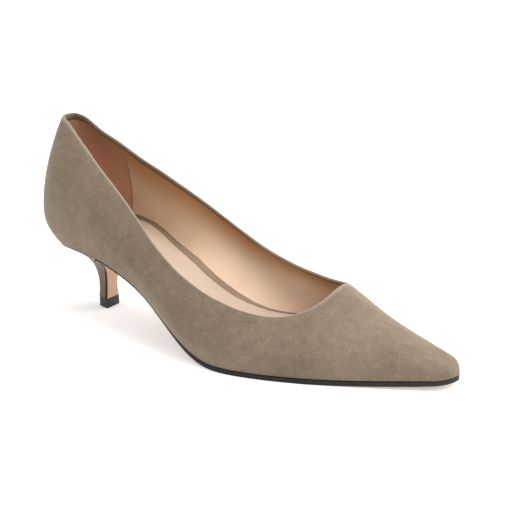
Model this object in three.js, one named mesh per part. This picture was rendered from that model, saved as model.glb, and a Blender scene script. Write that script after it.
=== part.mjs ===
import * as THREE from "three";
import { mergeVertices } from "three/addons/utils/BufferGeometryUtils.js";

// Pointed low-heeled pump, right shoe. Millimetres, toe +X, inner (medial) side +Y, up +Z.

// Driving sizes
const LENGTH = 245;
const BALL_WIDTH = 74;
const LAST_HEIGHT = 95;
const SEAT_HEIGHT = 36;
const BACK_HEIGHT = 102.5;
const WALL = 2.0;
const GAP = 0.3;

// Upper: heel curve, toe rounding and throat
const PIVOT = 0.16 * LENGTH;
const HEEL_POWER = 2 / 2.2;
const BACK_AT = 3.3;
const SEAT_TUCK = 12.2;
const TOP_LEAN = 11.3;
const BELLY_HEIGHT = 17.5;
const TOE_RADIUS = 6.5;
const THROAT_AT = 0.747 * LENGTH;
const THROAT_DEPTH = 34;
const THROAT_FULL = 2.8;
const CREST_ROUND = 3.2;

// Sole and sock
const SOLE_THICK = 2.3;
const WAIST_THICK = 1.3;
const SOLE_RIM = 0.5;
const WAIST_TUCK = 0.9;
const SOCK_THICK = 4.0;
const SEAT_PAD = 5.2;
const PAD_END = 0.32 * LENGTH;
const PAD_FADE = 31;
const SOCK_TOE_THICK = 1.45;
const SOCK_GAP = 0.4;
const TOE_INSET = 5.5;

// Heel: breast and neck places are measured from PIVOT
const BREAST_AHEAD = 11.3;
const NECK_AHEAD = 2.5;
const NECK_BEHIND = 4.1;
const NECK_WIDTH = 8.0;
const COVER_THICK = 1.2;
const TOP_PIECE_HEIGHT = 5;

// Facet counts
const FAN_STEPS = 9;
const SIDE_STEPS = 38;
const RIB_STEPS = 14;
const RIM_STEPS = 4;

// Sole outline by station: half widths at the feather edge, shares of BALL_WIDTH.
const OUTLINE = [
  { at: 0.16, lateral: 0.297, medial: 0.277 },
  { at: 0.22, lateral: 0.338, medial: 0.274 },
  { at: 0.28, lateral: 0.385, medial: 0.246 },
  { at: 0.34, lateral: 0.432, medial: 0.200 },
  { at: 0.40, lateral: 0.480, medial: 0.166 },
  { at: 0.46, lateral: 0.527, medial: 0.186 },
  { at: 0.52, lateral: 0.566, medial: 0.278 },
  { at: 0.58, lateral: 0.588, medial: 0.385 },
  { at: 0.66, lateral: 0.542, medial: 0.448 },
  { at: 0.74, lateral: 0.453, medial: 0.412 },
  { at: 0.83, lateral: 0.324, medial: 0.318 },
  { at: 0.92, lateral: 0.180, medial: 0.223 },
  { at: 1.00, lateral: 0.050, medial: 0.120 },
];

// Walls by station. out: swell past the feather edge, share of BALL_WIDTH. belly and ridge: heights
// of the widest level and of the crest over the feather edge, shares of LAST_HEIGHT.
const LATERAL_WALL = [
  { at: 0.16, out: 0.041, belly: 0.210, ridge: 0.598 },
  { at: 0.22, out: 0.041, belly: 0.185, ridge: 0.520 },
  { at: 0.28, out: 0.041, belly: 0.155, ridge: 0.478 },
  { at: 0.34, out: 0.041, belly: 0.135, ridge: 0.457 },
  { at: 0.40, out: 0.041, belly: 0.126, ridge: 0.456 },
  { at: 0.46, out: 0.040, belly: 0.125, ridge: 0.470 },
  { at: 0.52, out: 0.034, belly: 0.115, ridge: 0.480 },
  { at: 0.58, out: 0.028, belly: 0.105, ridge: 0.445 },
  { at: 0.66, out: 0.026, belly: 0.090, ridge: 0.400 },
  { at: 0.75, out: 0.024, belly: 0.080, ridge: 0.372 },
  { at: 0.83, out: 0.022, belly: 0.062, ridge: 0.245 },
  { at: 0.92, out: 0.017, belly: 0.050, ridge: 0.136 },
  { at: 1.00, out: 0.010, belly: 0.038, ridge: 0.064 },
];

const MEDIAL_WALL = [
  { at: 0.16, out: 0.041, belly: 0.210, ridge: 0.638 },
  { at: 0.22, out: 0.050, belly: 0.225, ridge: 0.640 },
  { at: 0.28, out: 0.092, belly: 0.235, ridge: 0.660 },
  { at: 0.34, out: 0.173, belly: 0.240, ridge: 0.655 },
  { at: 0.40, out: 0.253, belly: 0.237, ridge: 0.610 },
  { at: 0.46, out: 0.268, belly: 0.237, ridge: 0.620 },
  { at: 0.52, out: 0.195, belly: 0.228, ridge: 0.655 },
  { at: 0.58, out: 0.095, belly: 0.190, ridge: 0.630 },
  { at: 0.66, out: 0.044, belly: 0.135, ridge: 0.500 },
  { at: 0.75, out: 0.032, belly: 0.095, ridge: 0.372 },
  { at: 0.83, out: 0.027, belly: 0.065, ridge: 0.245 },
  { at: 0.92, out: 0.020, belly: 0.050, ridge: 0.136 },
  { at: 1.00, out: 0.010, belly: 0.038, ridge: 0.064 },
];

// Crest by station. aside: sideways place, share of BALL_WIDTH. full: 2 is a round section, less is
// more roof-like.
const CREST = [
  { at: 0.16, aside: 0.000, full: 1.800 },
  { at: 0.22, aside: 0.000, full: 1.680 },
  { at: 0.28, aside: 0.000, full: 1.580 },
  { at: 0.34, aside: 0.000, full: 1.500 },
  { at: 0.40, aside: 0.000, full: 1.500 },
  { at: 0.46, aside: 0.000, full: 1.500 },
  { at: 0.52, aside: 0.002, full: 1.500 },
  { at: 0.58, aside: 0.005, full: 1.500 },
  { at: 0.66, aside: 0.012, full: 1.500 },
  { at: 0.75, aside: 0.022, full: 1.500 },
  { at: 0.83, aside: 0.040, full: 1.600 },
  { at: 0.92, aside: 0.058, full: 1.800 },
  { at: 1.00, aside: 0.068, full: 2.000 },
];

// Height of the feather edge along the shoe, as a share of SEAT_HEIGHT.
const PITCH = [
  { at: 0.05, feather: 0.940 },
  { at: 0.12, feather: 0.995 },
  { at: 0.16, feather: 1.000 },
  { at: 0.21, feather: 0.982 },
  { at: 0.25, feather: 0.952 },
  { at: 0.285, feather: 0.897 },
  { at: 0.32, feather: 0.833 },
  { at: 0.36, feather: 0.728 },
  { at: 0.40, feather: 0.570 },
  { at: 0.45, feather: 0.355 },
  { at: 0.49, feather: 0.197 },
  { at: 0.52, feather: 0.120 },
  { at: 0.55, feather: 0.080 },
  { at: 0.60, feather: 0.070 },
  { at: 0.70, feather: 0.070 },
  { at: 0.77, feather: 0.075 },
  { at: 0.85, feather: 0.095 },
  { at: 0.93, feather: 0.125 },
  { at: 1.00, feather: 0.158 },
];

// Height of the topline over the floor on each side, as a share of BACK_HEIGHT.
const TOPLINE = [
  { at: 0.07, lateral: 0.988, medial: 0.988 },
  { at: 0.10, lateral: 0.962, medial: 0.968 },
  { at: 0.14, lateral: 0.887, medial: 0.900 },
  { at: 0.20, lateral: 0.781, medial: 0.785 },
  { at: 0.265, lateral: 0.683, medial: 0.698 },
  { at: 0.33, lateral: 0.581, medial: 0.606 },
  { at: 0.39, lateral: 0.482, medial: 0.513 },
  { at: 0.45, lateral: 0.396, medial: 0.425 },
  { at: 0.51, lateral: 0.333, medial: 0.355 },
  { at: 0.57, lateral: 0.296, medial: 0.312 },
  { at: 0.64, lateral: 0.271, medial: 0.286 },
  { at: 0.76, lateral: 0.254, medial: 0.280 },
];

// Heel block from its foot (up 0) to the seat (up 1). back, front and half width: shares of the way
// from the neck, the slimmest level, to the seat.
const HEEL = [
  { up: 0.00, back: 0.000, front: 0.020, half: 0.045 },
  { up: 0.08, back: 0.000, front: 0.010, half: 0.018 },
  { up: 0.20, back: 0.000, front: 0.000, half: 0.000 },
  { up: 0.40, back: 0.035, front: 0.050, half: 0.025 },
  { up: 0.58, back: 0.147, front: 0.190, half: 0.118 },
  { up: 0.74, back: 0.351, front: 0.415, half: 0.330 },
  { up: 0.87, back: 0.630, front: 0.680, half: 0.633 },
  { up: 0.95, back: 0.860, front: 0.888, half: 0.865 },
  { up: 1.00, back: 1.000, front: 1.000, half: 1.000 },
];

// Smooth curve through a column of a table, rows keyed by `key`.
function curve(rows, column, key = "at") {
  const n = rows.length;
  const x = rows.map((row) => row[key]);
  const y = rows.map((row) => row[column]);
  const slope = [];
  for (let i = 0; i < n - 1; i += 1) slope.push((y[i + 1] - y[i]) / (x[i + 1] - x[i]));
  const m = y.map((_, i) => {
    if (i === 0) return slope[0];
    if (i === n - 1) return slope[n - 2];
    const before = x[i] - x[i - 1];
    const after = x[i + 1] - x[i];
    return (slope[i - 1] * after + slope[i] * before) / (before + after);
  });
  return (at) => {
    const u = Math.min(Math.max(at, x[0]), x[n - 1]);
    let i = 0;
    while (i < n - 2 && u > x[i + 1]) i += 1;
    const h = x[i + 1] - x[i];
    const t = (u - x[i]) / h;
    const a = (1 + 2 * t) * (1 - t) * (1 - t) * y[i] + t * (1 - t) * (1 - t) * h * m[i];
    return a + t * t * (3 - 2 * t) * y[i + 1] - t * t * (1 - t) * h * m[i + 1];
  };
}

const clamp = (v, low, high) => Math.min(Math.max(v, low), high);
const mix = (a, b, t) => a + (b - a) * t;
const ease = (t) => clamp(t, 0, 1) ** 2 * (3 - 2 * clamp(t, 0, 1));

const halfWidth = { [-1]: curve(OUTLINE, "lateral"), 1: curve(OUTLINE, "medial") };
const wallOf = (rows) => ({
  out: curve(rows, "out"),
  belly: curve(rows, "belly"),
  ridge: curve(rows, "ridge"),
});
const wall = { [-1]: wallOf(LATERAL_WALL), 1: wallOf(MEDIAL_WALL) };
const crestAside = curve(CREST, "aside");
const crestFull = curve(CREST, "full");
const featherShare = curve(PITCH, "feather");
const topShare = { [-1]: curve(TOPLINE, "lateral"), 1: curve(TOPLINE, "medial") };
const seatBack = BACK_AT + SEAT_TUCK;
const topBack = BACK_AT + TOP_LEAN;
const breastAt = PIVOT + BREAST_AHEAD;

// Height of the feather edge, where upper and sole parts meet.
const seatZ = (x) => SEAT_HEIGHT * featherShare(x / LENGTH);

// Shrinks the sections over the last few millimetres so the toe closes round.
function toeShare(x) {
  const u = clamp((x - (LENGTH - TOE_RADIUS)) / TOE_RADIUS, 0, 1);
  return Math.sqrt(Math.max(1 - u * u, 0));
}

// Sideways place of the crest line that runs down the vamp to the toe.
const crestY = (x) => BALL_WIDTH * crestAside(x / LENGTH);

function featherY(x, side) {
  const e = toeShare(x);
  return mix(crestY(x), side * BALL_WIDTH * halfWidth[side](x / LENGTH), e);
}

// Half section of the last at x, from the feather edge up to the ridge, with running lengths. The
// crest is rounded from the throat forward.
const sectionCache = new Map();
function section(x, side) {
  const key = `${side}:${x.toFixed(5)}`;
  if (sectionCache.has(key)) return sectionCache.get(key);
  const s = x / LENGTH;
  const e = Math.max(toeShare(x), 1e-5);
  const out = BALL_WIDTH * wall[side].out(s) * e;
  const belly = LAST_HEIGHT * wall[side].belly(s) * e;
  const ridge = LAST_HEIGHT * wall[side].ridge(s) * e;
  const crest = crestY(x);
  const half = side * (featherY(x, side) - crest) + out;
  const full = crestFull(s);
  const round = Math.min(CREST_ROUND * ease((x - THROAT_AT) / THROAT_DEPTH + 1), half / 4);
  const rise = (y) => {
    const eased = Math.hypot(y, round * (1 - y / half));
    return (1 - Math.min(eased / half, 1) ** full) ** (1 / full);
  };
  const points = [];
  for (let i = 0; i < 12; i += 1) {
    const t = i / 12;
    points.push([half - out * (1 - t) ** 2, belly * t]);
  }
  for (let i = 0; i <= 60; i += 1) {
    const y = half * Math.cos((i / 60) * (Math.PI / 2)) ** (2 / full);
    points.push([y, belly + ((ridge - belly) * rise(y)) / rise(0)]);
  }
  points[points.length - 1][0] = 0;
  const place = points.map(([y, z]) => [crest + side * y, seatZ(x) + z]);
  const run = [0];
  for (let i = 1; i < place.length; i += 1) {
    const step = Math.hypot(place[i][0] - place[i - 1][0], place[i][1] - place[i - 1][1]);
    run.push(run[i - 1] + step);
  }
  const result = { place, run, total: run[run.length - 1] };
  sectionCache.set(key, result);
  return result;
}

function along(values, keys, at) {
  let i = 0;
  while (i < keys.length - 2 && at > keys[i + 1]) i += 1;
  const t = clamp((at - keys[i]) / (keys[i + 1] - keys[i] || 1), 0, 1);
  return mix(values[i], values[i + 1], t);
}

// Point of a section at a given length from the ridge.
function fromRidge(x, side, length) {
  const cut = section(x, side);
  const at = cut.total - length;
  const y = along(cut.place.map((p) => p[0]), cut.run, at);
  const z = along(cut.place.map((p) => p[1]), cut.run, at);
  return new THREE.Vector3(x, y, z);
}

// Length from the ridge down to the topline at x; it closes to nothing at the throat.
function toplineLength(x, side) {
  const cut = section(x, side);
  const height = BACK_HEIGHT * topShare[side](x / LENGTH);
  const at = along(cut.run, cut.place.map((p) => p[1]), height);
  const d = clamp((THROAT_AT - x) / THROAT_DEPTH, 0, 1);
  return (cut.total - at) * (1 - (1 - d) ** THROAT_FULL) ** (1 / THROAT_FULL);
}

// Point of the upright section at x, at a share of the way from the feather edge to the topline.
function uprightPoint(x, side, share) {
  return fromRidge(x, side, mix(section(x, side).total, toplineLength(x, side), share));
}

// Back profile: tucked in at the seat, fullest at the belly, leaning forward at the top.
function backX(h) {
  const low = SEAT_TUCK * clamp(1 - h / BELLY_HEIGHT, 0, 1) ** 2.6;
  const top = BACK_HEIGHT - SEAT_HEIGHT - BELLY_HEIGHT;
  return BACK_AT + low + TOP_LEAN * clamp((h - BELLY_HEIGHT) / top, 0, 1.2) ** 1.5;
}

// The heel end turns the upright section at PIVOT round to the back centre.
function fanPoint(turn, side, share) {
  const c = Math.cos(turn) ** HEEL_POWER;
  const s = Math.sin(turn) ** HEEL_POWER;
  const foot = seatZ(PIVOT - (PIVOT - seatBack) * c);
  const top = BACK_HEIGHT * topShare[side]((PIVOT - (PIVOT - topBack) * c) / LENGTH);
  const rib = uprightPoint(PIVOT, side, share);
  const pivotTop = uprightPoint(PIVOT, side, 1);
  const growth = uprightPoint(PIVOT + 1, side, share).y - rib.y;
  const h = ((top - foot) * (rib.z - seatZ(PIVOT))) / (pivotTop.z - seatZ(PIVOT));
  const x = PIVOT - (PIVOT - backX(h)) * c;
  return new THREE.Vector3(x, (rib.y - growth * (PIVOT - x) * (1 - c)) * s, foot + h);
}

function ribPoint(c, side, share) {
  const g = Math.sin((c * Math.PI) / 2);
  const footX = mix(PIVOT, LENGTH, g);
  const topX = mix(PIVOT, THROAT_AT, g);
  const x = mix(footX, topX, share);
  const length = mix(section(footX, side).total, toplineLength(topX, side), share);
  return fromRidge(x, side, Math.min(length, section(x, side).total));
}

const ribShares = [];
for (let i = 0; i <= RIB_STEPS; i += 1) {
  const t = (i / RIB_STEPS) ** 1.35;
  ribShares.push(mix(t, 0.5 - 0.5 * Math.cos(Math.PI * t), 0.55));
}

// Ribs run round the shoe: back centre, lateral side, toe, medial side and back again.
function allRibs() {
  const oneSide = (side) => {
    const list = [];
    for (let i = 0; i < FAN_STEPS; i += 1) {
      const turn = (i / FAN_STEPS) * (Math.PI / 2);
      list.push(ribShares.map((share) => fanPoint(turn, side, share)));
    }
    for (let i = 0; i <= SIDE_STEPS; i += 1) {
      list.push(ribShares.map((share) => ribPoint(i / SIDE_STEPS, side, share)));
    }
    return list;
  };
  return [...oneSide(-1), ...oneSide(1).slice(1, -1).reverse()];
}

// Closed mesh from rings of equal length: rings are joined in order and the last to the first.
function tube(rings, closed) {
  const n = rings[0].length;
  const positions = [];
  const index = [];
  for (const ring of rings) {
    for (const p of ring) positions.push(p.x, p.y, p.z);
  }
  const last = closed ? rings.length : rings.length - 1;
  for (let i = 0; i < last; i += 1) {
    const a = i * n;
    const b = ((i + 1) % rings.length) * n;
    for (let j = 0; j < n; j += 1) {
      const k = (j + 1) % n;
      index.push(a + j, b + j, b + k, a + j, b + k, a + k);
    }
  }
  return finish(positions, index);
}

// Merges equal points, drops empty triangles and turns the faces outward.
function finish(positions, index) {
  let geometry = new THREE.BufferGeometry();
  const rounded = positions.map((v) => Math.round(v * 1e4) / 1e4);
  geometry.setAttribute("position", new THREE.Float32BufferAttribute(rounded, 3));
  geometry.setIndex(index);
  geometry = mergeVertices(geometry, 2e-4);
  const old = geometry.index.array;
  const kept = [];
  for (let i = 0; i < old.length; i += 3) {
    const [a, b, c] = [old[i], old[i + 1], old[i + 2]];
    if (a !== b && b !== c && a !== c) kept.push(a, b, c);
  }
  if (signedVolume(geometry, kept) < 0) {
    for (let i = 0; i < kept.length; i += 3) [kept[i + 1], kept[i + 2]] = [kept[i + 2], kept[i + 1]];
  }
  geometry.setIndex(kept);
  geometry.computeVertexNormals();
  return geometry;
}

function signedVolume(geometry, index) {
  const at = geometry.attributes.position;
  const p = [new THREE.Vector3(), new THREE.Vector3(), new THREE.Vector3()];
  let sum = 0;
  for (let i = 0; i < index.length; i += 3) {
    p.forEach((v, k) => v.fromBufferAttribute(at, index[i + k]));
    sum += p[0].dot(p[1].clone().cross(p[2]));
  }
  return sum / 6;
}

// Upper: one wall of even thickness, rolled over at the topline, open below.
function upperGeometry() {
  const ribs = allRibs();
  const n = ribs.length;
  const rings = ribs.map((rib, i) => {
    const before = ribs[(i + n - 1) % n];
    const after = ribs[(i + 1) % n];
    const normals = rib.map((p, j) => {
      const up = rib[Math.min(j + 1, RIB_STEPS)].clone().sub(rib[Math.max(j - 1, 0)]);
      const round = after[j].clone().sub(before[j]);
      return round.cross(up).normalize();
    });
    const inner = rib.map((p, j) => {
      const direction = normals[j].clone();
      direction.z *= ease(ribShares[j] / 0.1);
      const inside = p.clone().addScaledVector(direction.normalize(), -WALL);
      if (j === 0) inside.z = seatZ(inside.x);
      return inside;
    });
    const top = rib[RIB_STEPS];
    const up = top.clone().sub(rib[RIB_STEPS - 1]).normalize();
    const centre = top.clone().add(inner[RIB_STEPS]).multiplyScalar(0.5);
    const roll = [];
    for (let k = 1; k < RIM_STEPS; k += 1) {
      const a = (k / RIM_STEPS) * Math.PI;
      const out = normals[RIB_STEPS].clone().multiplyScalar(Math.cos(a) * (WALL / 2));
      roll.push(centre.clone().add(out).addScaledVector(up, Math.sin(a) * (WALL / 2)));
    }
    return [...rib, ...roll, ...inner.reverse()];
  });
  return tube(rings, true);
}

// Point of the outer wall at a height over the feather edge.
function wallPoint(sample, side, height) {
  const turned = sample.x === undefined;
  const point = (share) => {
    return turned ? fanPoint(sample.turn, side, share) : uprightPoint(sample.x, side, share);
  };
  if (!turned && height === 0) return new THREE.Vector3(sample.x, featherY(sample.x, side), 0);
  const foot = point(0).z;
  let low = 0;
  let high = height === 0 ? 0 : 1;
  for (let i = 0; i < 20 && high > 0; i += 1) {
    const middle = (low + high) / 2;
    if (point(middle).z - foot < height) low = middle;
    else high = middle;
  }
  return point(low);
}

// Horizontal thickness that the leaning wall has at a height, for each unit across it.
function leanFactor(sample, side, height) {
  if (height === 0) return 1;
  const foot = wallPoint(sample, side, 0);
  const high = wallPoint(sample, side, height);
  const lean = Math.hypot(high.x - foot.x, high.y - foot.y) / height;
  return Math.sqrt(1 + Math.min(lean, 2) ** 2);
}

// Foot outline paired lateral with medial, moved outward by the margin at each place. A plate of some
// thickness that fits between the walls has its outline at a share, level, of that up the wall.
function outlinePairs(marginAt, start, thickAt = () => 0, level = 0, end = LENGTH) {
  const samples = [];
  if (start === null) {
    for (let i = 0; i < FAN_STEPS; i += 1) samples.push({ turn: (i / FAN_STEPS) * (Math.PI / 2) });
  }
  const from = start === null ? PIVOT : start;
  for (let i = 0; i <= SIDE_STEPS; i += 1) {
    samples.push({ x: mix(from, end, Math.sin((i / SIDE_STEPS) * (Math.PI / 2))) });
  }
  const thickOf = (sample) => thickAt(sample.x === undefined ? PIVOT : sample.x);
  const edge = (side) => {
    const line = samples.map((sample) => wallPoint(sample, side, level * thickOf(sample)));
    return line.map((p, i) => {
      const factor = leanFactor(samples[i], side, thickOf(samples[i]));
      const tip = i === line.length - 1 && end === LENGTH;
      const heel = i === 0 && start === null;
      const a = heel ? new THREE.Vector3(line[1].x, -line[1].y, 0) : line[Math.max(i - 1, 0)];
      const b = line[Math.min(i + 1, line.length - 1)];
      const run = b.clone().sub(a);
      const out = new THREE.Vector3(run.y, -run.x, 0).normalize().multiplyScalar(-side);
      if (tip) out.set(1, 0, 0);
      return p.clone().setZ(0).addScaledVector(out, marginAt(p.x, factor));
    });
  };
  const lateral = edge(-1);
  const medial = edge(1);
  return lateral.map((p, i) => [p, medial[i]]);
}

// Plate that follows the seat curve between two heights, built across from pair to pair.
function plateGeometry(topPairs, topOf, bottomPairs, bottomOf, across) {
  const row = ([a, b], heightOf) => {
    const list = [];
    for (let j = 0; j <= across; j += 1) {
      const x = mix(a.x, b.x, j / across);
      list.push(new THREE.Vector3(x, mix(a.y, b.y, j / across), heightOf(x)));
    }
    return list;
  };
  const rings = topPairs.map((pair, i) => {
    return [...row(pair, topOf), ...row(bottomPairs[i], bottomOf).reverse()];
  });
  return capped(rings, across);
}

// Tube of rings closed at both ends with a strip across, for rings made of two equal rows.
function capped(rings, across) {
  const n = rings[0].length;
  const positions = [];
  const index = [];
  for (const ring of rings) {
    for (const p of ring) positions.push(p.x, p.y, p.z);
  }
  for (let i = 0; i < rings.length - 1; i += 1) {
    const a = i * n;
    const b = a + n;
    for (let j = 0; j < n; j += 1) {
      const k = (j + 1) % n;
      index.push(a + j, b + j, b + k, a + j, b + k, a + k);
    }
  }
  const cap = (base, flip) => {
    for (let j = 0; j < across; j += 1) {
      const [p, q, r, s] = [base + j, base + j + 1, base + n - 2 - j, base + n - 1 - j];
      if (flip) index.push(p, q, r, p, r, s);
      else index.push(p, r, q, p, s, r);
    }
  };
  cap(0, true);
  cap((rings.length - 1) * n, false);
  return finish(positions, index);
}

const soleTop = (x) => seatZ(x) - GAP;
const soleThick = (x) => mix(WAIST_THICK, SOLE_THICK, ease((x / LENGTH - 0.36) / 0.2));
const soleBottom = (x) => Math.max(soleTop(x) - soleThick(x), 0);

// Heel block outline at the seat: back centre round to the breast on each side.
function seatHalf(side) {
  const line = [];
  for (let i = 0; i <= FAN_STEPS; i += 1) line.push(fanPoint((i / FAN_STEPS) * (Math.PI / 2), side, 0));
  for (let i = 1; i <= 2; i += 1) {
    const x = mix(PIVOT, breastAt, i / 2);
    line.push(new THREE.Vector3(x, featherY(x, side), 0));
  }
  return line;
}

const backShare = curve(HEEL, "back", "up");
const frontShare = curve(HEEL, "front", "up");
const halfShare = curve(HEEL, "half", "up");
const seatWidth = featherY(PIVOT, 1) - featherY(PIVOT, -1);
const heelBack = (up) => mix(PIVOT - NECK_BEHIND, seatBack, backShare(up));
const heelFront = (up) => mix(PIVOT + NECK_AHEAD, breastAt, frontShare(up));
const heelHalf = (up) => mix(NECK_WIDTH / seatWidth, 1, halfShare(up));
const heelFoot = TOP_PIECE_HEIGHT + GAP;
const heelLevels = [0, 0.04, 0.1, 0.2, 0.3, 0.4, 0.5, 0.58, 0.66, 0.74, 0.81, 0.87, 0.92, 0.96, 1];

// Seat outline shrunk to the heel's own width and depth at a level.
function heelRing(up, base, topOf, ahead = 0) {
  const half = heelHalf(up);
  const map = (p) => {
    const x = mix(heelBack(up), heelFront(up) + ahead, (p.x - seatBack) / (breastAt - seatBack));
    return new THREE.Vector3(x, p.y * half, mix(base, topOf(x), up));
  };
  const lateral = seatHalf(-1).map(map);
  const medial = seatHalf(1).map(map);
  return [lateral, medial];
}

// Block lofted through levels; every level is a lateral and a medial half joined at the back.
function loftGeometry(levels) {
  const rings = levels.map(([lateral, medial]) => [...lateral, ...[...medial].reverse()]);
  return capped(rings, levels[0][0].length - 1);
}

function heelGeometry() {
  return loftGeometry(heelLevels.map((up) => heelRing(up, heelFoot, soleTop)));
}

// The top piece is as wide as the heel's foot and comes forward under the breast cover.
function topPieceGeometry() {
  const [lateral, medial] = heelRing(0, 0, soleTop, GAP + COVER_THICK);
  const at = (z) => [lateral, medial].map((half) => half.map((p) => p.clone().setZ(z)));
  return loftGeometry([at(0), at(TOP_PIECE_HEIGHT)]);
}

// Breast cover: thin sheet on the front of the heel from the top piece up to the sole.
function breastCoverGeometry() {
  const rings = [];
  const end = soleBottom(breastAt + GAP) - GAP;
  for (const up of heelLevels) {
    const x = heelFront(up) + GAP;
    const z = mix(heelFoot, end, up);
    const left = featherY(breastAt, -1) * heelHalf(up);
    const right = featherY(breastAt, 1) * heelHalf(up);
    const row = (depth) => {
      const list = [];
      for (let j = 0; j <= 4; j += 1) list.push(new THREE.Vector3(x + depth, mix(left, right, j / 4), z));
      return list;
    };
    rings.push([...row(0), ...row(COVER_THICK).reverse()]);
  }
  return capped(rings, 4);
}

// The sole's edge stands out at the forefoot, ends flush at the toe and is tucked in at the waist.
function soleMargin(x) {
  const forward = mix(-WAIST_TUCK, SOLE_RIM, ease((x / LENGTH - 0.36) / 0.2));
  return forward - SOLE_RIM * ease((x / LENGTH - 0.93) / 0.06);
}
const soleEdge = outlinePairs(soleMargin, breastAt + 2 * GAP);
const outsole = plateGeometry(soleEdge, soleTop, soleEdge, soleBottom, 6);

// The insole with its sock fills the foot of the upper: thick under the heel, thin at the toe.
function sockThick(x) {
  const pad = SEAT_PAD * ease((PAD_END - x) / PAD_FADE);
  return mix(SOCK_THICK, SOCK_TOE_THICK, ease((x / LENGTH - 0.82) / 0.16)) + pad;
}
const sockTop = (x) => seatZ(x) + sockThick(x);
const sockFit = (x, lean) => -(WALL + SOCK_GAP) * lean;
const insole = plateGeometry(
  outlinePairs(sockFit, null, sockThick, 1, LENGTH - TOE_INSET),
  sockTop,
  outlinePairs(sockFit, null, sockThick, 0, LENGTH - TOE_INSET),
  seatZ,
  6,
);

const shoe = new THREE.Group();
shoe.name = "pointed_pump";

function addPiece(name, geometry, color, roughness) {
  const material = new THREE.MeshStandardMaterial({ color, roughness, metalness: 0 });
  material.name = name;
  const mesh = new THREE.Mesh(geometry, material);
  mesh.name = name;
  shoe.add(mesh);
}

addPiece("upper", upperGeometry(), 0x8c7d6c, 0.95);
addPiece("outsole", outsole, 0x1b1a1a, 0.5);
addPiece("insole", insole, 0xe0c4ac, 0.6);
addPiece("heel", heelGeometry(), 0x8a7b6a, 0.95);
addPiece("heel_breast_cover", breastCoverGeometry(), 0xd9b89c, 0.6);
addPiece("top_piece", topPieceGeometry(), 0x151515, 0.6);

// The frame's origin is the middle of the footprint, on the floor.
const box = new THREE.Box3().setFromObject(shoe);
const centre = box.getCenter(new THREE.Vector3());
shoe.position.set(-centre.x, -centre.y, -box.min.z);

export default shoe;
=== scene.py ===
import math

import bpy
import bmesh
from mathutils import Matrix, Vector


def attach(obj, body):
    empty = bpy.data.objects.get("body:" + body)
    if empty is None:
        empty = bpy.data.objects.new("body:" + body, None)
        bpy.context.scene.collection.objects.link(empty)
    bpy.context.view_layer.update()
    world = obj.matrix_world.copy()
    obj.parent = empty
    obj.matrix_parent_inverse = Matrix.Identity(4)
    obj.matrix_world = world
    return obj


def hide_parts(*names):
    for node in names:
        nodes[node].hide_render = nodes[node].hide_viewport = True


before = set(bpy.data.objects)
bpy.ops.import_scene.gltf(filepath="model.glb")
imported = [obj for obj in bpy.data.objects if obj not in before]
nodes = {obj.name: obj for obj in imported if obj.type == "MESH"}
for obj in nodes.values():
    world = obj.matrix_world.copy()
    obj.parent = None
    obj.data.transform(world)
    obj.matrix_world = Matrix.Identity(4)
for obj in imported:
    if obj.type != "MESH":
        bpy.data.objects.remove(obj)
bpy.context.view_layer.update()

# Camera: the photograph's own place in front of the toe on the outer side, a little above the shoe,
# turned so that the one shoe fills the frame.
camera_data = bpy.data.cameras.new("camera")
camera = bpy.data.objects.new("camera", camera_data)
bpy.context.scene.collection.objects.link(camera)
camera.location = (0.3705, -0.5407, 0.2640)
camera_aim = Vector((-0.0049, 0.0284, 0.0355))
camera.rotation_mode = "QUATERNION"
camera.rotation_quaternion = (camera_aim - camera.location).to_track_quat("-Z", "Y")
camera_data.sensor_width = 36.0
camera_data.lens = 98.0
camera_data.clip_start = 0.01
camera_data.clip_end = 20.0
bpy.context.scene.camera = camera
bpy.context.scene.view_settings.view_transform = "Standard"

# Floor: one seamless white product table under the shoe, lit a little from below so that it stays white.
bpy.ops.object.select_all(action="DESELECT")
bpy.ops.mesh.primitive_circle_add(vertices=96, radius=6.0, fill_type="NGON", location=(0, 0, 0))
floor = bpy.context.object
floor.name = "floor"
paper = bpy.data.materials.new("white_paper")
paper.use_nodes = True
paper_shader = paper.node_tree.nodes["Principled BSDF"]
paper_shader.inputs["Base Color"].default_value = (0.92, 0.92, 0.92, 1)
paper_shader.inputs["Roughness"].default_value = 0.9
paper_shader.inputs["Specular IOR Level"].default_value = 0.2
paper_shader.inputs["Emission Color"].default_value = (1, 1, 1, 1)
paper_shader.inputs["Emission Strength"].default_value = 0.32
floor.data.materials.append(paper)

# Light: a bright white room with a large soft panel above, a weaker one beyond the inner side, and two
# weak ones in front and at the left to lift the shadows.
world = bpy.data.worlds.new("white_room")
bpy.context.scene.world = world
world.use_nodes = True
room = world.node_tree.nodes["Background"]
room.inputs["Color"].default_value = (1.0, 1.0, 1.0, 1)
room.inputs["Strength"].default_value = 0.70
SHOE_MIDDLE = Vector((0, 0, 0.04))


def soft_panel(name, place, size, power):
    """A square lamp at place that faces the shoe."""
    lamp = bpy.data.lights.new(name, "AREA")
    lamp.shape = "SQUARE"
    lamp.size = size
    lamp.energy = power
    holder = bpy.data.objects.new(name, lamp)
    bpy.context.scene.collection.objects.link(holder)
    holder.location = place
    holder.rotation_mode = "QUATERNION"
    holder.rotation_quaternion = (SHOE_MIDDLE - Vector(place)).to_track_quat("-Z", "Y")


soft_panel("top_panel", (0.34, 0.20, 1.22), 0.9, 18.0)
soft_panel("far_panel", (0.7, 0.9, 0.7), 0.8, 7.0)
soft_panel("front_panel", (1.2, -0.5, 0.8), 0.9, 4.4)
soft_panel("left_panel", (-0.9, -0.9, 0.8), 0.9, 2.4)


# Upper, first the way its wall runs: the CAD wall is a belt of rings that go once round the wall, over
# the topline and back under the foot. They are read in order, from the back round the outer side.
# A ring has RING points: the outer face from its foot, the roll over the topline, then the inner face.
OUTER_FOOT = 0
INNER_TOP = 18
RING = 33
WALL_ROWS = 15


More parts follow.
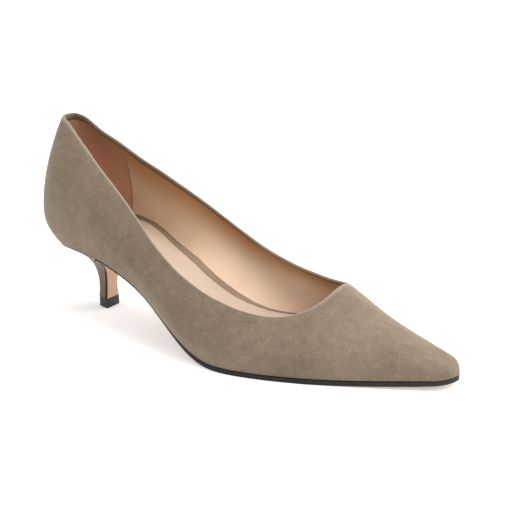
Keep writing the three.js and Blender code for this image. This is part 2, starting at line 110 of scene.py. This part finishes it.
def pick(piece):
    """piece alone selected and active."""
    bpy.ops.object.select_all(action="DESELECT")
    piece.select_set(True)
    bpy.context.view_layer.objects.active = piece


def merged_copy(node, name):
    """A copy of a CAD node's mesh with its loose triangles joined."""
    piece = bpy.data.objects.new(name, nodes[node].data.copy())
    bpy.context.scene.collection.objects.link(piece)
    pick(piece)
    bpy.ops.object.mode_set(mode="EDIT")
    bpy.ops.mesh.select_all(action="SELECT")
    bpy.ops.mesh.remove_doubles(threshold=0.000002)
    bpy.ops.mesh.normals_make_consistent(inside=False)
    bpy.ops.object.mode_set(mode="OBJECT")
    piece.data.materials.clear()
    return piece


def wall_rings(piece):
    """The points of the wall as rings of RING points, each from the outer foot over the topline."""
    mesh = piece.data
    turn = {}
    for face in mesh.polygons:
        a, b, c = face.vertices
        for at, one, two in ((a, b, c), (b, c, a), (c, a, b)):
            turn.setdefault(at, {})[one] = two

    def opposite(at, side):
        """The neighbour straight across a point where six triangles meet."""
        for _ in range(3):
            side = turn[at][side]
        return side

    def line(at, side, most=400):
        """The points met going straight on from at by way of side, until the line closes."""
        run = [at]
        while side != run[0] and len(run) < most:
            run.append(side)
            side = opposite(run[-1], run[-2])
        return run

    points = [v.co for v in mesh.vertices]
    top = max(range(len(points)), key=lambda k: points[k].z)
    ways = {side: line(top, side) for side in turn[top]}
    up_wall = [w for w in ways.values() if len(w) == RING]
    outward = min(up_wall, key=lambda w: points[w[1]].x)
    round_shoe = [s for s, w in ways.items() if len(w) == len(points) // RING]
    lateral = min(round_shoe, key=lambda s: points[s].y)
    steps, side = 0, outward[1]
    while side != lateral:
        side = turn[top][side]
        steps += 1
    heights = [points[at].z for at in outward]
    foot = min(range(RING), key=lambda k: heights[k] + heights[(k + 1) % RING])
    columns = []
    for k, at in enumerate(outward):
        side = outward[(k + 1) % RING]
        for _ in range(steps):
            side = turn[at][side]
        columns.append(line(at, side))
    rings = []
    for i in range(len(columns[0])):
        down = [points[column[i]].copy() for column in columns]
        order = [down[(foot - j) % RING] for j in range(RING)]
        rings.append(order)
    back = min(range(len(rings)), key=lambda i: rings[i][OUTER_FOOT].x)
    rings = rings[back:] + rings[:back]
    if rings[1][OUTER_FOOT].y > rings[-1][OUTER_FOOT].y:
        rings = rings[:1] + rings[:0:-1]
    return rings


cad_upper = merged_copy("upper", "cad_wall")
cad_rings = wall_rings(cad_upper)
bpy.data.objects.remove(cad_upper)


def smooth_between(p, q, r, s, t):
    """The point at a share t from q to r on a smooth line through p, q, r and s."""
    bend = 2 * p - 5 * q + 4 * r - s
    twist = 3 * q - p - 3 * r + s
    return 0.5 * (2 * q + (r - p) * t + bend * t * t + twist * t**3)


def ring_at(place):
    """A ring between the read ones: place counts rings round the shoe from the back."""
    count = len(cad_rings)
    i = math.floor(place)
    around = [cad_rings[(i + k) % count] for k in (-1, 0, 1, 2)]
    if abs(place - i) < 1e-9:
        return [v.copy() for v in around[1]]
    return [smooth_between(*(ring[j] for ring in around), place - i) for j in range(RING)]


def on_rows(points, place):
    """The point of a row of points at a fractional place."""
    last = len(points) - 1
    place = min(max(place, 0.0), float(last))
    i = min(int(place), last - 1)
    near = [points[min(max(i + k, 0), last)] for k in (-1, 0, 1, 2)]
    return smooth_between(*near, place - i)


class WallRing:
    """One upright cut of the upper's wall, with its outer and inner face from the topline down."""

    def __init__(self, place):
        points = ring_at(place)
        self.outer = points[WALL_ROWS - 1::-1]
        self.roll = points[WALL_ROWS - 1:INNER_TOP + 1]
        self.inner = points[INNER_TOP:]
        self.run = [0.0]
        for k in range(1, WALL_ROWS):
            self.run.append(self.run[-1] + (self.inner[k] - self.inner[k - 1]).length)

    def row_at(self, length):
        """The fractional row at a length down the inner face from the topline."""
        for k in range(1, WALL_ROWS):
            if self.run[k] >= length:
                return k - 1 + (length - self.run[k - 1]) / (self.run[k] - self.run[k - 1])
        return WALL_ROWS - 1.0

    def at(self, row, depth):
        """The point in the wall at a row, with depth 0 on the outer face and 1 on the inner one."""
        return on_rows(self.outer, row).lerp(on_rows(self.inner, row), depth)


def belt(name, loops, closed=True, values=None):
    """A mesh from equal closed loops of points, joined in order; open belts get flat ends."""
    mesh = bpy.data.meshes.new(name)
    count = len(loops[0])
    verts = [p for loop in loops for p in loop]
    faces = []
    for i in range(len(loops) if closed else len(loops) - 1):
        a, b = i * count, ((i + 1) % len(loops)) * count
        for j in range(count):
            k = (j + 1) % count
            faces.append((a + j, b + j, b + k, a + k))
    if not closed:
        faces.append(tuple(range(count)))
        faces.append(tuple(range(len(verts) - 1, len(verts) - 1 - count, -1)))
    mesh.from_pydata([tuple(v) for v in verts], [], faces)
    mesh.validate()
    piece = bpy.data.objects.new(name, mesh)
    bpy.context.scene.collection.objects.link(piece)
    if values is not None:
        layer = mesh.attributes.new("from_rim", "FLOAT", "POINT")
        layer.data.foreach_set("value", [v for loop in values for v in loop])
    pick(piece)
    bpy.ops.object.mode_set(mode="EDIT")
    bpy.ops.mesh.select_all(action="SELECT")
    bpy.ops.mesh.normals_make_consistent(inside=False)
    bpy.ops.object.mode_set(mode="OBJECT")
    bpy.ops.object.shade_smooth_by_angle(angle=math.radians(50))
    return piece


# Suede upper: one piece of taupe suede over the last. Its edge is folded over at the topline and comes
# a little way down inside, where it stands proud of the lining. Depths in the wall run from 0, the
# outer face, to 1, the inner one.
FOLD = 0.0021
FOLD_CROWN = 0.05
SUEDE_BACK = 0.45
FOLD_EDGE_DEPTHS = (0.97, 0.85, SUEDE_BACK + 0.12)
AROUND = 3
OUTER_STEPS = 46
ROLL_STEPS = 8
FOLD_STEPS = 5
BACK_STEPS = 12
FOOT_ROW = WALL_ROWS - 1
# Painted light along a loop: below 0 a painted highlight on the roll over the topline, above 0 painted
# shade at the foot where the suede meets the sole, on the roll's inner half and on the turned-in part.
FOOT_SHADE = [0.8]
EDGE_LIGHT_AND_SHADE = [-0.4, -1.0, -1.0, -1.0, -0.7, -0.1, 0.4, 0.6, 0.8, 0.9]
wall = [WallRing(i / AROUND) for i in range(len(cad_rings) * AROUND)]
suede_loops = []
suede_values = []
for cut in wall:
    fold_row = cut.row_at(FOLD)
    loop = [on_rows(cut.outer, FOOT_ROW * (1 - k / OUTER_STEPS)) for k in range(OUTER_STEPS)]
    loop += [on_rows(cut.roll, (INNER_TOP - FOOT_ROW) * k / ROLL_STEPS) for k in range(ROLL_STEPS)]
    for k in range(FOLD_STEPS):
        crown = FOLD_CROWN * math.sin(math.pi * k / FOLD_STEPS)
        loop.append(cut.at(fold_row * k / FOLD_STEPS, 1.0 + crown))
    loop += [cut.at(fold_row, depth) for depth in FOLD_EDGE_DEPTHS]
    for k in range(1, BACK_STEPS + 1):
        loop.append(cut.at(fold_row + (FOOT_ROW - fold_row) * k / BACK_STEPS, SUEDE_BACK))
    suede_loops.append(loop)
    # Painted shade at the foot, the edge's painted highlight and shade, then painted shade over the rest
    # of the inside.
    tint = FOOT_SHADE + [0.0] * (OUTER_STEPS - 2) + EDGE_LIGHT_AND_SHADE
    suede_values.append(tint + [1.0] * (len(loop) - len(tint)))
suede_upper = belt("suede_upper", suede_loops, values=suede_values)


def links(material):
    """The nodes and the shader of a new material, and a maker of nodes with their settings."""
    material.use_nodes = True
    tree = material.node_tree
    shader = tree.nodes["Principled BSDF"]

    def add(kind, **settings):
        node = tree.nodes.new(kind)
        for key, value in settings.items():
            if hasattr(node, key):
                setattr(node, key, value)
            else:
                node.inputs[key.replace("_", " ")].default_value = value
        return node

    def join(source, output, target, socket):
        tree.links.new(source.outputs[output], target.inputs[socket])

    place = add("ShaderNodeTexCoord")
    return shader, add, join, place


def suede_material(name, dark, light, pale):
    """Napped suede: brushed patches, fine fibre grain, a painted highlight and painted shade read from
    from_rim.
    """
    material = bpy.data.materials.new(name)
    shader, add, join, place = links(material)
    patches = add("ShaderNodeTexNoise", Scale=20.0, Detail=3.0, Roughness=0.5, Distortion=0.6)
    mottle = add("ShaderNodeTexNoise", Scale=210.0, Detail=4.0, Roughness=0.65)
    nap = add("ShaderNodeTexNoise", Scale=1250.0, Detail=2.0, Roughness=0.7)
    for node in (patches, mottle, nap):
        join(place, "Object", node, "Vector")
    spread = add("ShaderNodeMapRange")
    spread.inputs["From Min"].default_value = 0.30
    spread.inputs["From Max"].default_value = 0.70
    join(patches, "Fac", spread, "Value")
    base = add("ShaderNodeMix", data_type="RGBA")
    base.inputs["A"].default_value = dark
    base.inputs["B"].default_value = light
    join(spread, "Result", base, "Factor")
    mottled = add("ShaderNodeMix", data_type="RGBA", blend_type="OVERLAY")
    mottled.inputs["Factor"].default_value = 0.34
    join(base, "Result", mottled, "A")
    join(mottle, "Fac", mottled, "B")
    napped = add("ShaderNodeMix", data_type="RGBA", blend_type="OVERLAY")
    napped.inputs["Factor"].default_value = 0.46
    join(mottled, "Result", napped, "A")
    join(nap, "Fac", napped, "B")
    edge = add("ShaderNodeAttribute", attribute_name="from_rim")
    last = napped
    # Painted light: a pale painted highlight where from_rim falls to -1, dark painted shade where it
    # rises to 1.
    painted_highlight = (-1.0, 0.55, (0.30, 0.245, 0.19, 1))
    painted_shade = (1.0, 0.75, (0.105, 0.072, 0.046, 1))
    for full, share, shade in (painted_highlight, painted_shade):
        reach = add("ShaderNodeMapRange", interpolation_type="SMOOTHSTEP")
        reach.inputs["From Min"].default_value = 0.0
        reach.inputs["From Max"].default_value = full
        reach.inputs["To Max"].default_value = share
        join(edge, "Fac", reach, "Value")
        tinted = add("ShaderNodeMix", data_type="RGBA")
        join(reach, "Result", tinted, "Factor")
        join(last, "Result", tinted, "A")
        tinted.inputs["B"].default_value = shade
        last = tinted
    join(last, "Result", shader, "Base Color")
    rough = add("ShaderNodeMapRange")
    rough.inputs["To Min"].default_value = 0.82
    rough.inputs["To Max"].default_value = 1.0
    join(mottle, "Fac", rough, "Value")
    join(rough, "Result", shader, "Roughness")
    shader.inputs["Specular IOR Level"].default_value = 0.12
    shader.inputs["Sheen Weight"].default_value = 0.45
    shader.inputs["Sheen Roughness"].default_value = 0.45
    shader.inputs["Sheen Tint"].default_value = pale
    bump = add("ShaderNodeBump", Strength=0.35, Distance=0.00012)
    join(nap, "Fac", bump, "Height")
    soft = add("ShaderNodeBump", Strength=0.5, Distance=0.0005)
    join(mottle, "Fac", soft, "Height")
    join(soft, "Normal", bump, "Normal")
    join(bump, "Normal", shader, "Normal")
    return material


suede = suede_material(
    "taupe_suede", (0.131, 0.096, 0.066, 1), (0.177, 0.135, 0.097, 1), (0.75, 0.66, 0.56, 1)
)
suede_upper.data.materials.append(suede)
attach(suede_upper, "root")
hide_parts("upper")

# Lining: thin smooth leather glued inside the suede, from under the folded edge down to the insole.
LINING_BACK = 0.52
LINING_FACE = 0.80
LINING_STEPS = 26
LINING_GAP = 0.00015
LINING_DIP = 0.08
ROW_POWER = 1.15


def layer_loop(cut, gap, power, face_depth, back_depth, edge_dip):
    """A loop round a layer of the wall from under the fold down, and each point's way from its top."""
    top = cut.row_at(FOLD + gap)
    shares = [(k / LINING_STEPS) ** power for k in range(LINING_STEPS + 1)]
    rows = [top + (FOOT_ROW - top) * share for share in shares]
    face = [cut.at(row, face_depth - (edge_dip if k == 0 else 0)) for k, row in enumerate(rows)]
    back = [cut.at(row, back_depth) for row in rows]
    down = [(p - face[0]).length for p in face]
    return face + back[::-1], down + down[::-1]


lining_loops = []
lining_values = []
for cut in wall:
    loop, down = layer_loop(cut, LINING_GAP, ROW_POWER, LINING_FACE, LINING_BACK, LINING_DIP)
    lining_loops.append(loop)
    lining_values.append(down)
lining = belt("lining", lining_loops, values=lining_values)


def leather_material(name, colour, deep, rough, shade_rims=()):
    """Smooth dyed leather: cloudy dye, fine pores, a soft shine, and painted shade below an edge for each
    rim.
    """
    material = bpy.data.materials.new(name)
    shader, add, join, place = links(material)
    cloud = add("ShaderNodeTexNoise", Scale=42.0, Detail=3.0, Roughness=0.5, Distortion=0.3)
    pores = add("ShaderNodeTexVoronoi", Scale=2600.0)
    fine = add("ShaderNodeTexNoise", Scale=900.0, Detail=3.0, Roughness=0.6)
    for node in (cloud, pores, fine):
        join(place, "Object", node, "Vector")
    base = add("ShaderNodeMix", data_type="RGBA")
    base.inputs["A"].default_value = deep
    base.inputs["B"].default_value = colour
    spread = add("ShaderNodeMapRange")
    spread.inputs["From Min"].default_value = 0.3
    spread.inputs["From Max"].default_value = 0.62
    join(cloud, "Fac", spread, "Value")
    join(spread, "Result", base, "Factor")
    speck = add("ShaderNodeMix", data_type="RGBA", blend_type="OVERLAY")
    speck.inputs["Factor"].default_value = 0.12
    join(base, "Result", speck, "A")
    join(fine, "Fac", speck, "B")
    last = speck
    # Each rim is painted shade, strongest at the edge and fading out over its reach.
    for reach, shade in shade_rims:
        edge = add("ShaderNodeAttribute", attribute_name="from_rim")
        fade = add("ShaderNodeMapRange", interpolation_type="SMOOTHSTEP")
        fade.inputs["From Min"].default_value = 0.0
        fade.inputs["From Max"].default_value = reach
        join(edge, "Fac", fade, "Value")
        tinted = add("ShaderNodeMix", data_type="RGBA")
        tinted.inputs["A"].default_value = shade
        join(fade, "Result", tinted, "Factor")
        join(last, "Result", tinted, "B")
        last = tinted
    join(last, "Result", shader, "Base Color")
    polish = add("ShaderNodeMapRange")
    polish.inputs["To Min"].default_value = rough - 0.06
    polish.inputs["To Max"].default_value = rough + 0.08
    join(fine, "Fac", polish, "Value")
    join(polish, "Result", shader, "Roughness")
    shader.inputs["Specular IOR Level"].default_value = 0.35
    bump = add("ShaderNodeBump", Strength=0.18, Distance=0.00008)
    join(pores, "Distance", bump, "Height")
    cloudy = add("ShaderNodeBump", Strength=0.25, Distance=0.0003)
    join(fine, "Fac", cloudy, "Height")
    join(cloudy, "Normal", bump, "Normal")
    join(bump, "Normal", shader, "Normal")
    return material


# Painted shade: a dark line just under the suede's folded edge, where the fold overhangs the lining.
UNDER_FOLD_SHADE = (0.0011, (0.12, 0.07, 0.04, 1))
# The lining is painted darker and deeper in colour down to 26 mm from its top edge: painted shade on the
# upper wall.
lining_leather = leather_material(
    "nude_lining", (0.62, 0.445, 0.31, 1), (0.56, 0.39, 0.255, 1), 0.52,
    shade_rims=((0.026, (0.39, 0.19, 0.078, 1)), UNDER_FOLD_SHADE),
)
lining.data.materials.append(lining_leather)
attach(lining, "root")
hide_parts("upper")

# Heel grip: a second layer of rougher leather glued round the inside of the back. Its front edges stand
# upright on both sides, where a fine line of painted shade marks the step at the seam that holds them.
GRIP_FACE = 0.97
GRIP_SINK = 0.05
GRIP_GAP = 0.0003
GRIP_ENDS = 9.22
GRIP_SPAN = 60
# Width of the painted shade line along the grip's two front edges.
SEAM_SHADE = 0.0006
grip_loops = []
grip_values = []
for i in range(GRIP_SPAN + 1):
    place = -GRIP_ENDS + 2 * GRIP_ENDS * i / GRIP_SPAN
    cut = WallRing(place % len(cad_rings))
    at_end = i in (0, GRIP_SPAN)
    face_depth = GRIP_FACE - (GRIP_SINK if at_end else 0)
    loop, down = layer_loop(cut, GRIP_GAP, 1.0, face_depth, LINING_FACE - GRIP_SINK, GRIP_SINK)
    grip_loops.append(loop)
    # At the two ends the way from the top is held small, which paints the under-fold shade along them.
    grip_values.append([min(d, SEAM_SHADE) for d in down] if at_end else down)
heel_grip = belt("heel_grip", grip_loops, closed=False, values=grip_values)
# Painted shade: darker towards the grip's top edge and a dark line under the fold.
grip_leather = leather_material(
    "brushed_grip", (0.52, 0.285, 0.175, 1), (0.45, 0.23, 0.14, 1), 0.8,
    shade_rims=((0.030, (0.36, 0.19, 0.11, 1)), UNDER_FOLD_SHADE),
)
heel_grip.data.materials.append(grip_leather)
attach(heel_grip, "root")
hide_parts("upper")

# Insole and sock: a stiff board between the walls, and on it a sock of pale leather, dished a little
# at the heel seat and cut narrower along the inner waist to leave room for the strip.
cad_insole = nodes["insole"].data
FACES_UP = 0.3
top_line = {}
for face in cad_insole.polygons:
    if face.normal.z > FACES_UP:
        for k in face.vertices:
            co = cad_insole.vertices[k].co
            top_line[round(co.x, 5)] = max(co.z, top_line.get(round(co.x, 5), -1))
top_line = sorted(top_line.items())


def sock_height(x):
    """Height of the insole's upper face at a place along the shoe."""
    if x <= top_line[0][0]:
        return top_line[0][1]
    for (x0, z0), (x1, z1) in zip(top_line, top_line[1:]):
        if x <= x1:
            return z0 + (z1 - z0) * (x - x0) / (x1 - x0)
    return top_line[-1][1]


HALVINGS = 24


def lining_foot(place, lift, depth=LINING_FACE):
    """Where a layer of the wall meets a level at a height over the insole's face."""
    cut = WallRing(place % len(cad_rings))
    low, high = 0.0, float(FOOT_ROW)
    for _ in range(HALVINGS):
        middle = (low + high) / 2
        p = cut.at(middle, depth)
        if p.z > sock_height(p.x) + lift:
            low = middle
        else:
            high = middle
    return cut.at(low, depth)


toe_place = len(cad_rings) / 2
ACROSS = 20
STATIONS = 110
BED_START = 0.35
BED_TOE_GAP = 1.6
EDGE_ROUND = 0.0002
DISH_POWER = 3


def bed(name, lift, thick, gap, dish, cut_in):
    """A leather or board bed between the linings, built across from side to side."""
    loops = []
    for i in range(STATIONS):
        place = toe_place * (1 - math.cos(math.pi * (i + 0.5) / STATIONS)) / 2
        place = BED_START + place * (toe_place - BED_TOE_GAP) / toe_place
        lateral = lining_foot(place, lift)
        medial = lining_foot(-place, lift)
        side = (medial - lateral).normalized()
        lateral = lateral + side * gap
        medial = medial - side * (gap + cut_in(medial.x))
        upper, under = [], []
        for k in range(ACROSS + 1):
            t = k / ACROSS
            p = lateral.lerp(medial, t)
            z = sock_height(p.x) + lift + dish(p.x) * abs(2 * t - 1) ** DISH_POWER
            round_off = EDGE_ROUND if k in (0, ACROSS) else 0.0
            upper.append(Vector((p.x, p.y, z - round_off)))
            under.append(Vector((p.x, p.y, z - thick)))
        loops.append(upper + under[::-1])
    return belt(name, loops, closed=False)


SEAT_FRONT = -0.090
SEAT_FADE = 0.018
SEAT_DISH = 0.0022


def seat_share(x):
    """1 over the heel seat, fading to 0 at the waist."""
    t = min(max((SEAT_FRONT - x) / SEAT_FADE, 0.0), 1.0)
    return t * t * (3 - 2 * t)


# Width of the strip that shows along the inner side of the sock, and how far it turns up the lining.
STRIP = [
    {"x": -0.0950, "wide": 0.0000, "up": 0.0004},
    {"x": -0.0890, "wide": 0.0011, "up": 0.0009},
    {"x": -0.0820, "wide": 0.0018, "up": 0.0009},
    {"x": -0.0750, "wide": 0.0020, "up": 0.0007},
    {"x": -0.0680, "wide": 0.0022, "up": 0.0006},
    {"x": -0.0592, "wide": 0.0027, "up": 0.0005},
    {"x": -0.0492, "wide": 0.0033, "up": 0.0005},
    {"x": -0.0367, "wide": 0.0042, "up": 0.0004},
    {"x": -0.0267, "wide": 0.0043, "up": 0.0003},
    {"x": -0.0182, "wide": 0.0035, "up": 0.0004},
    {"x": -0.0102, "wide": 0.0026, "up": 0.0006},
    {"x": -0.0042, "wide": 0.0015, "up": 0.0006},
    # From here forward the strip is only a thin dark line: painted shade where the sock meets the lining.
    {"x": 0.0030, "wide": 0.0007, "up": 0.0004},
    {"x": 0.0120, "wide": 0.0003, "up": 0.0003},
    {"x": 0.0350, "wide": 0.0002, "up": 0.0002},
]


def waist_strip(x, column="wide"):
    """A measure of the strip at a place."""
    places = [row["x"] for row in STRIP]
    if not places[0] < x < places[-1]:
        return 0.0
    i = max(k for k, place in enumerate(places) if place <= x)
    near = [STRIP[min(max(i + k, 0), len(STRIP) - 1)][column] for k in (-1, 0, 1, 2)]
    return max(0.0, smooth_between(*near, (x - places[i]) / (places[i + 1] - places[i])))


SOCK_THICK = 0.0005
SOCK_GAP = 0.0002
BOARD_LIFT = -0.0007
BOARD_THICK = 0.0022
sock = bed("sock", 0.0, SOCK_THICK, SOCK_GAP, lambda x: SEAT_DISH * seat_share(x), waist_strip)
board = bed("insole_board", BOARD_LIFT, BOARD_THICK, 0.0, lambda x: 0.0, lambda x: 0.0)

# Waist strip: a band of brown leather let in flush between the sock and the lining on the inner side,
# and turned up a little against the lining towards the ball. Beyond that it runs on as a thin dark line
# of painted shade where the sock meets the lining.
STRIP_FROM = 6.2
STRIP_RINGS = 28.8
STRIP_STEPS = 239
STRIP_FACE = 0.86
STRIP_BACK = 0.76
STRIP_SINK = 0.00004
FINE_GAP = 0.0001
strip_loops = []
for i in range(STRIP_STEPS + 1):
    place = -(STRIP_FROM + STRIP_RINGS * i / STRIP_STEPS)
    foot = lining_foot(place, 0.0, STRIP_FACE)
    wide = waist_strip(foot.x) - FINE_GAP
    if wide < FINE_GAP:
        continue
    top = sock_height(foot.x) - STRIP_SINK
    under = top - SOCK_THICK
    up = waist_strip(foot.x, "up") + FINE_GAP
    row = [(foot.y - wide, under), (foot.y - wide, top), (foot.y - FINE_GAP, top)]
    front = lining_foot(place, up, STRIP_FACE)
    back = lining_foot(place, up, STRIP_BACK)
    loop = [Vector((foot.x, y, z)) for y, z in row] + [front, back]
    loop.append(Vector((foot.x, foot.y + 4 * FINE_GAP, under)))
    strip_loops.append(loop)
strip = belt("waist_strip", strip_loops, closed=False)
sock_leather = leather_material("pale_sock", (0.440, 0.335, 0.258, 1), (0.420, 0.310, 0.232, 1), 0.5)
board_leather = leather_material("tan_board", (0.36, 0.25, 0.16, 1), (0.32, 0.21, 0.13, 1), 0.6)
strip_leather = leather_material("brown_strip", (0.215, 0.147, 0.09, 1), (0.18, 0.12, 0.072, 1), 0.6)
sock.data.materials.append(sock_leather)
board.data.materials.append(board_leather)
strip.data.materials.append(strip_leather)
for piece in (sock, board, strip):
    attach(piece, "root")
    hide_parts("insole")


def apply_all(piece):
    """All the modifiers of piece applied in order."""
    pick(piece)
    for modifier in list(piece.modifiers):
        bpy.ops.object.modifier_apply(modifier=modifier.name)


SHARP = math.radians(38)


def smoothed(node, name, levels, edge):
    """A copy of a CAD solid with its sides smoothed and its edges rounded."""
    piece = merged_copy(node, name)
    bpy.ops.object.mode_set(mode="EDIT")
    bpy.ops.mesh.select_all(action="SELECT")
    bpy.ops.mesh.tris_convert_to_quads(face_threshold=math.radians(30), shape_threshold=math.radians(180))
    bpy.ops.object.mode_set(mode="OBJECT")
    mesh = bmesh.new()
    mesh.from_mesh(piece.data)
    layer = mesh.edges.layers.float.new("crease_edge")
    for e in mesh.edges:
        if len(e.link_faces) == 2 and e.calc_face_angle() > SHARP:
            e[layer] = 1.0
    mesh.to_mesh(piece.data)
    mesh.free()
    finer = piece.modifiers.new("finer", "SUBSURF")
    finer.levels = levels
    finer.render_levels = levels
    rounding = piece.modifiers.new("rounding", "BEVEL")
    rounding.width = edge
    rounding.segments = 2
    rounding.limit_method = "ANGLE"
    rounding.angle_limit = SHARP
    rounding.use_clamp_overlap = True
    apply_all(piece)
    bpy.ops.object.shade_smooth_by_angle(angle=math.radians(50))
    return piece


def two_faced(piece, second, chooses):
    """The second material on the faces that chooses picks by their normal."""
    piece.data.materials.append(second)
    for face in piece.data.polygons:
        if chooses(face.normal):
            face.material_index = 1


def black_material(name, wear, shades, rough, shine, relief):
    """A dull black skin, with fine wear in its tone, its gloss and its relief."""
    material = bpy.data.materials.new(name)
    shader, add, join, place = links(material)
    grit = add("ShaderNodeTexNoise", **wear)
    join(place, "Object", grit, "Vector")
    tone = add("ShaderNodeMix", data_type="RGBA")
    tone.inputs["A"].default_value, tone.inputs["B"].default_value = shades
    join(grit, "Fac", tone, "Factor")
    join(tone, "Result", shader, "Base Color")
    gloss = add("ShaderNodeMapRange")
    gloss.inputs["To Min"].default_value, gloss.inputs["To Max"].default_value = rough
    join(grit, "Fac", gloss, "Value")
    join(gloss, "Result", shader, "Roughness")
    shader.inputs["Specular IOR Level"].default_value = shine
    bump = add("ShaderNodeBump", Strength=relief, Distance=0.0001)
    join(grit, "Fac", bump, "Height")
    join(bump, "Normal", shader, "Normal")
    return material


# Outsole: a thin leather sole with a smooth underside and an edge trimmed, painted and polished black.
sole = smoothed("outsole", "leather_outsole", 2, 0.00035)
edge_paint = black_material(
    "edge_paint", dict(Scale=260.0, Detail=4.0, Roughness=0.6),
    ((0.010, 0.009, 0.009, 1), (0.022, 0.020, 0.019, 1)), rough=(0.50, 0.68), shine=0.22, relief=0.2,
)
sole.data.materials.append(edge_paint)
sole_leather = leather_material("sole_leather", (0.32, 0.215, 0.15, 1), (0.27, 0.18, 0.12, 1), 0.42)
two_faced(sole, sole_leather, lambda n: n.z < -0.8)
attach(sole, "root")
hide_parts("outsole")

# Heel: a slender block covered in the upper's suede, which is wrapped round to the edges of its breast.
heel = smoothed("heel", "suede_heel", 2, 0.0005)
heel.data.materials.append(suede)
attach(heel, "root")
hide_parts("heel")

# Breast cover: nude leather glued down the front of the heel, its cut edges painted black.
cover = smoothed("heel_breast_cover", "breast_leather", 2, 0.00015)
breast_leather = leather_material("breast_nude", (0.60, 0.37, 0.24, 1), (0.54, 0.32, 0.20, 1), 0.45)
cover.data.materials.append(breast_leather)
two_faced(cover, edge_paint, lambda n: n.x < 0.5)
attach(cover, "root")
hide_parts("heel_breast_cover")

# Top piece: a black moulded tip pinned under the heel, its edges a little rounded.
tip = smoothed("top_piece", "heel_tip", 1, 0.0004)
rubber = black_material(
    "tip_rubber", dict(Scale=900.0, Detail=3.0, Roughness=0.65),
    ((0.008, 0.008, 0.008, 1), (0.020, 0.020, 0.020, 1)), rough=(0.42, 0.62), shine=0.5, relief=0.25,
)
tip.data.materials.append(rubber)
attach(tip, "root")
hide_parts("top_piece")
